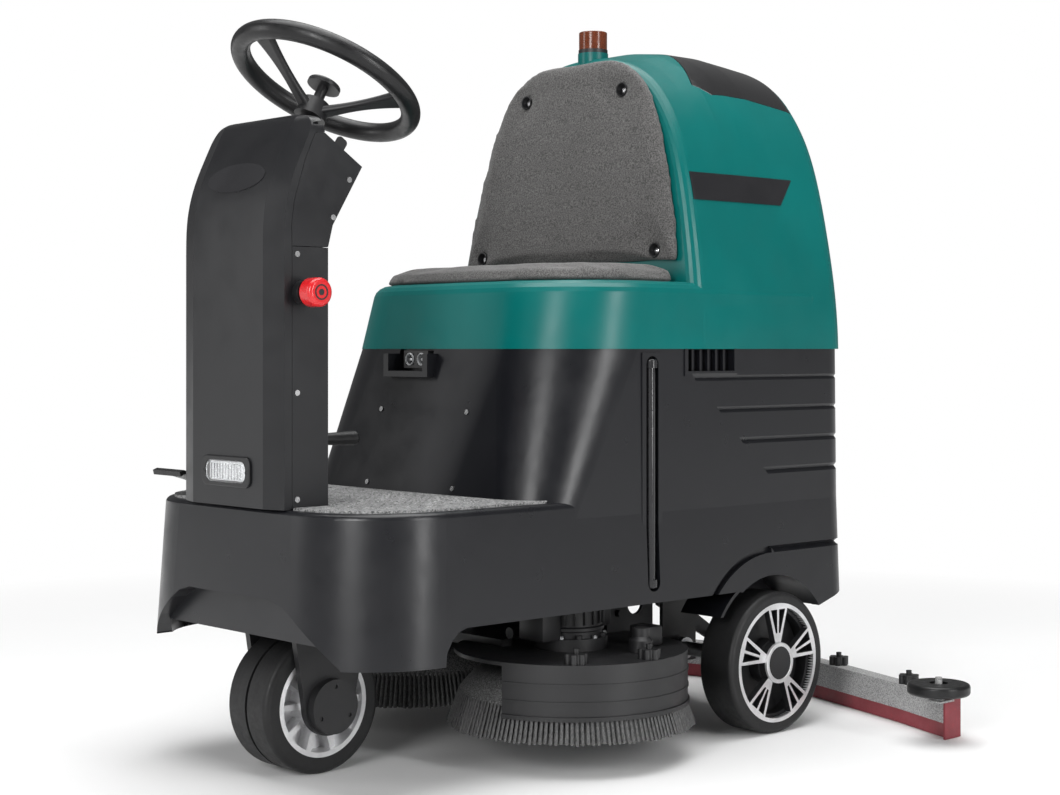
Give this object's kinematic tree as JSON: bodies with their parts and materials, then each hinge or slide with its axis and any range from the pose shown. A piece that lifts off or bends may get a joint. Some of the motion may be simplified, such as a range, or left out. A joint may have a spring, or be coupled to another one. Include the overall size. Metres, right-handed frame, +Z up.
{
  "type": "ride-on floor scrubber",
  "caption": "Ride-on floor scrubber with a steering column, seat on a hinged recovery tank, two scrub brushes under a lifting deck and a swinging rear squeegee.",
  "frame": {"origin": "on the floor, under the middle of the machine's bounding box", "axes": "+X to the operator's left, -Y the direction of travel, +Z up"},
  "size_m": [1.252, 1.3405, 1.267],
  "materials": {
    "shell_black": "rotomoulded polyethylene, satin",
    "shell_teal": "rotomoulded polyethylene, satin gloss",
    "lid_black": "glossy moulded plastic",
    "column_black": "satin moulded plastic",
    "frame_paint": "black powder coat",
    "zinc_steel": "zinc plated",
    "bright_steel": "polished",
    "wheel_silver": "machined faces",
    "tyre_rubber": "solid rubber",
    "grip_rubber": "soft touch",
    "blade_rubber": "gum rubber",
    "knob_plastic": "moulded",
    "grey_plastic": "moulded",
    "squeegee_casting": "textured coat",
    "bristle": "nylon bristle",
    "mat_grey": "anti-slip pattern",
    "seat_vinyl": "textured foam skin",
    "tube_clear": "smoked, gloss",
    "lamp_clear": "ribbed lens",
    "beacon_amber": "translucent",
    "stop_red": "gloss",
    "blank_dark": "smooth blank plate"
  },
  "bodies": {
    "chassis": {"chassis_shell": "shell_black", "foot_mat": "mat_grey", "level_tube": "tube_clear", "charge_connector": "grey_plastic", "main_frame": "frame_paint", "rear_axle": "zinc_steel", "batteries": "knob_plastic", "solution_tank": "grey_plastic", "drive_controller": "knob_plastic", "front_badge_blank": "blank_dark", "column_front_cover": "column_black", "headlight_housing": "knob_plastic", "headlight_lens": "lamp_clear", "column_side_panels": "column_black", "column_rear_cover": "column_black", "dash_housing": "column_black", "key_switch": "bright_steel", "column_frame": "frame_paint", "cover_screws": "bright_steel", "emergency_stop_collar": "knob_plastic", "tank_hinge_lower": "zinc_steel", "drain_port_caps": "knob_plastic"},
    "steering": {"steering_wheel_rim": "grip_rubber", "steering_wheel_spokes": "knob_plastic"},
    "horn": {"horn_button": "knob_plastic"},
    "lower_shaft": {"steering_shaft_lower": "zinc_steel"},
    "fork": {"front_fork": "frame_paint"},
    "front_wheel": {"front_tyre": "tyre_rubber", "front_rim": "wheel_silver"},
    "rear_left": {"rear_tyre_left": "tyre_rubber", "rear_wheel_left": "wheel_silver"},
    "rear_right": {"rear_tyre_right": "tyre_rubber", "rear_wheel_right": "wheel_silver"},
    "deck": {"brush_deck": "frame_paint", "brush_motors": "frame_paint", "deck_star_knobs": "knob_plastic"},
    "left_brush": {"brush_left": "bristle"},
    "right_brush": {"brush_right": "bristle"},
    "yoke": {"squeegee_swing_yoke": "zinc_steel"},
    "squeegee": {"squeegee_arm": "frame_paint", "squeegee_body": "squeegee_casting", "squeegee_blades": "blade_rubber", "squeegee_star_knobs": "knob_plastic"},
    "roller_left": {"squeegee_roller_left": "grip_rubber"},
    "roller_right": {"squeegee_roller_right": "grip_rubber"},
    "dash_switch": {"dash_button": "stop_red"},
    "key": {"ignition_key": "knob_plastic"},
    "stop_button": {"emergency_stop_button": "stop_red"},
    "lift_lever": {"squeegee_lift_lever": "grip_rubber"},
    "pedal": {"accelerator_pedal": "grip_rubber"},
    "tank": {"recovery_tank_shell": "shell_teal", "seat_cushion": "seat_vinyl", "backrest_cushion": "seat_vinyl", "backrest_screws": "bright_steel", "beacon_base": "knob_plastic", "beacon_lens": "beacon_amber", "side_label_blanks": "blank_dark", "vacuum_motor": "knob_plastic", "tank_hinge_upper": "zinc_steel"},
    "lid": {"tank_lid": "lid_black"}
  },
  "joints": [
    {"name": "steering_turn", "type": "hinge", "parent": "chassis", "child": "steering", "pos_m": [0, -0.506, 1.063], "axis": [0, 0.4726, 0.8813], "range_deg": [-180, 180]},
    {"name": "horn_press", "type": "slide", "parent": "steering", "child": "horn", "axis": [0, -0.4726, -0.8813], "range_m": [0, 0.003], "stiffness_N_per_m": 1200, "springref_m": -0.002},
    {"name": "shaft_turn", "type": "hinge", "parent": "chassis", "child": "lower_shaft", "pos_m": [0, -0.608, 0.6], "axis": [0, 0, 1], "range_deg": [-180, 180]},
    {"name": "fork_turn", "type": "hinge", "parent": "chassis", "child": "fork", "pos_m": [0, -0.521, 0.3], "axis": [0, 0, 1], "range_deg": [-60, 60]},
    {"name": "front_wheel_spin", "type": "hinge", "parent": "fork", "child": "front_wheel", "pos_m": [0, -0.521, 0.112], "axis": [1, 0, 0], "continuous": true},
    {"name": "rear_left_spin", "type": "hinge", "parent": "chassis", "child": "rear_left", "pos_m": [0.3, 0.262, 0.125], "axis": [1, 0, 0], "continuous": true},
    {"name": "rear_right_spin", "type": "hinge", "parent": "chassis", "child": "rear_right", "pos_m": [-0.3, 0.262, 0.125], "axis": [1, 0, 0], "continuous": true},
    {"name": "deck_drop", "type": "slide", "parent": "chassis", "child": "deck", "axis": [0, 0, 1], "range_m": [-0.052, 0]},
    {"name": "left_brush_spin", "type": "hinge", "parent": "deck", "child": "left_brush", "pos_m": [0.21, -0.123, 0.15], "axis": [0, 0, 1], "continuous": true},
    {"name": "right_brush_spin", "type": "hinge", "parent": "deck", "child": "right_brush", "pos_m": [-0.21, -0.123, 0.15], "axis": [0, 0, 1], "continuous": true},
    {"name": "squeegee_swing", "type": "hinge", "parent": "chassis", "child": "yoke", "pos_m": [0, 0.382, 0.25], "axis": [0, 0, 1], "range_deg": [-10, 10]},
    {"name": "squeegee_lift", "type": "hinge", "parent": "yoke", "child": "squeegee", "pos_m": [0, 0.382, 0.196], "axis": [1, 0, 0], "range_deg": [0, 12]},
    {"name": "roller_left_spin", "type": "hinge", "parent": "squeegee", "child": "roller_left", "pos_m": [0.572, 0.412, 0.09], "axis": [0, 0, 1], "continuous": true},
    {"name": "roller_right_spin", "type": "hinge", "parent": "squeegee", "child": "roller_right", "pos_m": [-0.572, 0.412, 0.09], "axis": [0, 0, 1], "continuous": true},
    {"name": "dash_press", "type": "slide", "parent": "chassis", "child": "dash_switch", "axis": [0, -0.5547, -0.832], "range_m": [0, 0.002], "stiffness_N_per_m": 900, "springref_m": -0.002},
    {"name": "key_turn", "type": "hinge", "parent": "chassis", "child": "key", "pos_m": [0.112, -0.54067, 0.98778], "axis": [0, 0.5547, 0.832], "range_deg": [0, 90]},
    {"name": "stop_press", "type": "slide", "parent": "chassis", "child": "stop_button", "axis": [-1, 0, 0], "range_m": [0, 0.006], "stiffness_N_per_m": 1200, "springref_m": -0.002},
    {"name": "lever_swing", "type": "hinge", "parent": "chassis", "child": "lift_lever", "pos_m": [0.06, -0.606, 0.536], "axis": [1, 0, 0], "range_deg": [-20, 20]},
    {"name": "pedal_press", "type": "hinge", "parent": "chassis", "child": "pedal", "pos_m": [-0.225, -0.544, 0.45], "axis": [1, 0, 0], "range_deg": [0, 12], "stiffness_Nm_per_rad": 6, "springref_deg": -13.75},
    {"name": "tank_tilt", "type": "hinge", "parent": "chassis", "child": "tank", "pos_m": [-0.326, 0.302, 0.68], "axis": [0, -1, 0], "range_deg": [0, 50]},
    {"name": "lid_open", "type": "hinge", "parent": "tank", "child": "lid", "pos_m": [-0.2075, 0.322, 1.136], "axis": [0, -1, 0], "range_deg": [0, 95]}
  ],
  "couplings": [
    {"joint": "shaft_turn", "follows": "steering_turn", "ratio": 1},
    {"joint": "fork_turn", "follows": "steering_turn", "ratio": 0.33333}
  ]
}
